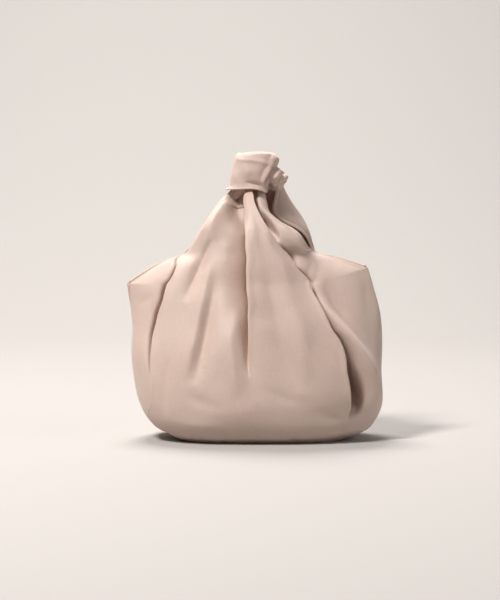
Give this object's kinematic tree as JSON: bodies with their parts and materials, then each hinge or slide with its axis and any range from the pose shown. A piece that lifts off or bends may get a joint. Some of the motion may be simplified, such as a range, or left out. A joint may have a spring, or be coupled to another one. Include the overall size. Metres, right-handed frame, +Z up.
{
  "type": "knotted cloth mini bag",
  "caption": "Small lined satin pouch with a boxed flat base, gathered front and back, whose two ears are tied in a knot that serves as the handle; mouths open left and right.",
  "frame": {"origin": "middle of the footprint of the bag's bounding box, on the surface that it stands on", "axes": "+Z up, through the knot; +Y from the front, which carries the knot, to the back; +X to the bag's right as seen from the front"},
  "size_m": [0.2402, 0.1339, 0.2715],
  "materials": {
    "satin": "matte satin",
    "lining": "matte lining satin"
  },
  "bodies": {
    "root": {"front_panel": "satin", "back_panel": "satin", "base_panel": "satin", "front_lining": "lining", "back_lining": "lining", "base_lining": "lining", "front_left_binding": "satin", "front_right_binding": "satin", "back_left_binding": "satin", "back_right_binding": "satin", "knot_band": "satin", "front_ear_end": "satin", "back_ear_twist": "satin"}
  },
  "joints": []
}
